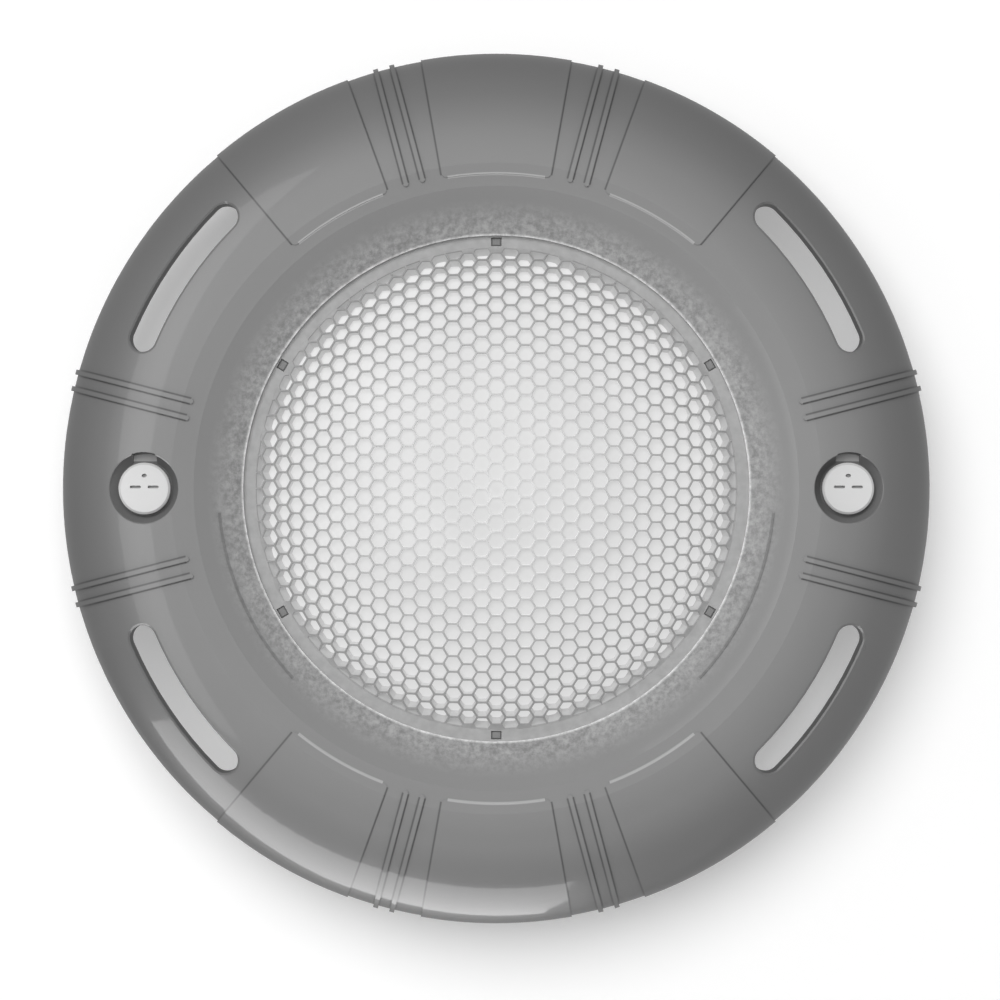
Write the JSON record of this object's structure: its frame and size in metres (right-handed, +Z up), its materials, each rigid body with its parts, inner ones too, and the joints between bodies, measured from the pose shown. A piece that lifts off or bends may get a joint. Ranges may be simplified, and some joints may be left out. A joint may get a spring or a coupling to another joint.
{
  "type": "underwater pool light",
  "caption": "Round surface-mounted underwater pool light with a domed honeycomb lens, ribbed bezel, capped screws, sealed LED housing and wall bracket.",
  "frame": {"origin": "centre of the bracket's wall screw pattern, on the wall plane", "axes": "+Y out of the back into the wall (the light looks along -Y), +Z up, +X to the viewer's right"},
  "size_m": [0.29, 0.056, 0.291],
  "materials": {
    "bezel_grey": "satin moulded ABS with a fine texture on the inner cone",
    "lens_white": "white diffusing polycarbonate",
    "guard_grey": "moulded plastic honeycomb",
    "clip_dark": "dark moulded plastic",
    "seal_rubber": "black elastomer",
    "housing_grey": "satin moulded ABS",
    "stainless": "marine stainless steel",
    "aluminium": "spun aluminium",
    "pad_rubber": "grey thermal pad",
    "board_white": "white solder mask",
    "led_plastic": "phosphor-filled silicone",
    "brass": "turned brass",
    "board_green": "green solder mask",
    "capacitor_can": "sleeved aluminium can",
    "copper_coil": "enamelled copper winding",
    "chip_black": "black moulding compound",
    "terminal_plastic": "green terminal block",
    "wire_red": "insulated wire",
    "gland_grey": "moulded nylon",
    "cap_white": "white moulded plastic",
    "bracket_grey": "light grey moulded ABS"
  },
  "bodies": {
    "wall_bracket_body": {"wall_bracket": "bracket_grey", "left_insert": "brass", "right_insert": "brass"},
    "light_head": {"bezel": "bezel_grey", "lens": "lens_white", "honeycomb_guard": "guard_grey", "guard_clips": "clip_dark", "lens_gasket": "seal_rubber", "rear_housing": "housing_grey", "bezel_screws": "stainless", "heat_sink": "aluminium", "thermal_pad": "pad_rubber", "led_board": "board_white", "led_packages": "led_plastic", "engine_screws": "stainless", "board_standoffs": "brass", "driver_board": "board_green", "capacitors": "capacitor_can", "inductor": "copper_coil", "rectifier": "chip_black", "driver_chips": "chip_black", "terminal_block": "terminal_plastic", "led_wires": "wire_red", "gland_body": "gland_grey", "gland_oring": "seal_rubber", "gland_seal": "seal_rubber", "gland_locknut": "gland_grey", "left_washer": "seal_rubber", "right_washer": "seal_rubber"},
    "left_screw_body": {"left_screw": "stainless"},
    "right_screw_body": {"right_screw": "stainless"},
    "left_cap_body": {"left_cap": "cap_white"},
    "right_cap_body": {"right_cap": "cap_white"},
    "gland_nut_body": {"gland_nut": "gland_grey"}
  },
  "joints": [
    {"name": "head_release", "type": "slide", "parent": "wall_bracket_body", "child": "light_head", "axis": [0, -1, 0], "range_m": [0, 0.06]},
    {"name": "left_screw_turn", "type": "hinge", "parent": "light_head", "child": "left_screw_body", "pos_m": [-0.115, -0.03, 0], "axis": [0, -1, 0], "continuous": true},
    {"name": "left_cap_pull", "type": "slide", "parent": "light_head", "child": "left_cap_body", "axis": [0, -1, 0], "range_m": [0, 0.02]},
    {"name": "right_screw_turn", "type": "hinge", "parent": "light_head", "child": "right_screw_body", "pos_m": [0.115, -0.03, 0], "axis": [0, -1, 0], "continuous": true},
    {"name": "right_cap_pull", "type": "slide", "parent": "light_head", "child": "right_cap_body", "axis": [0, -1, 0], "range_m": [0, 0.02]},
    {"name": "gland_nut_turn", "type": "hinge", "parent": "light_head", "child": "gland_nut_body", "pos_m": [0, -0.0157, -0.1], "axis": [0, 0, -1], "continuous": true}
  ]
}
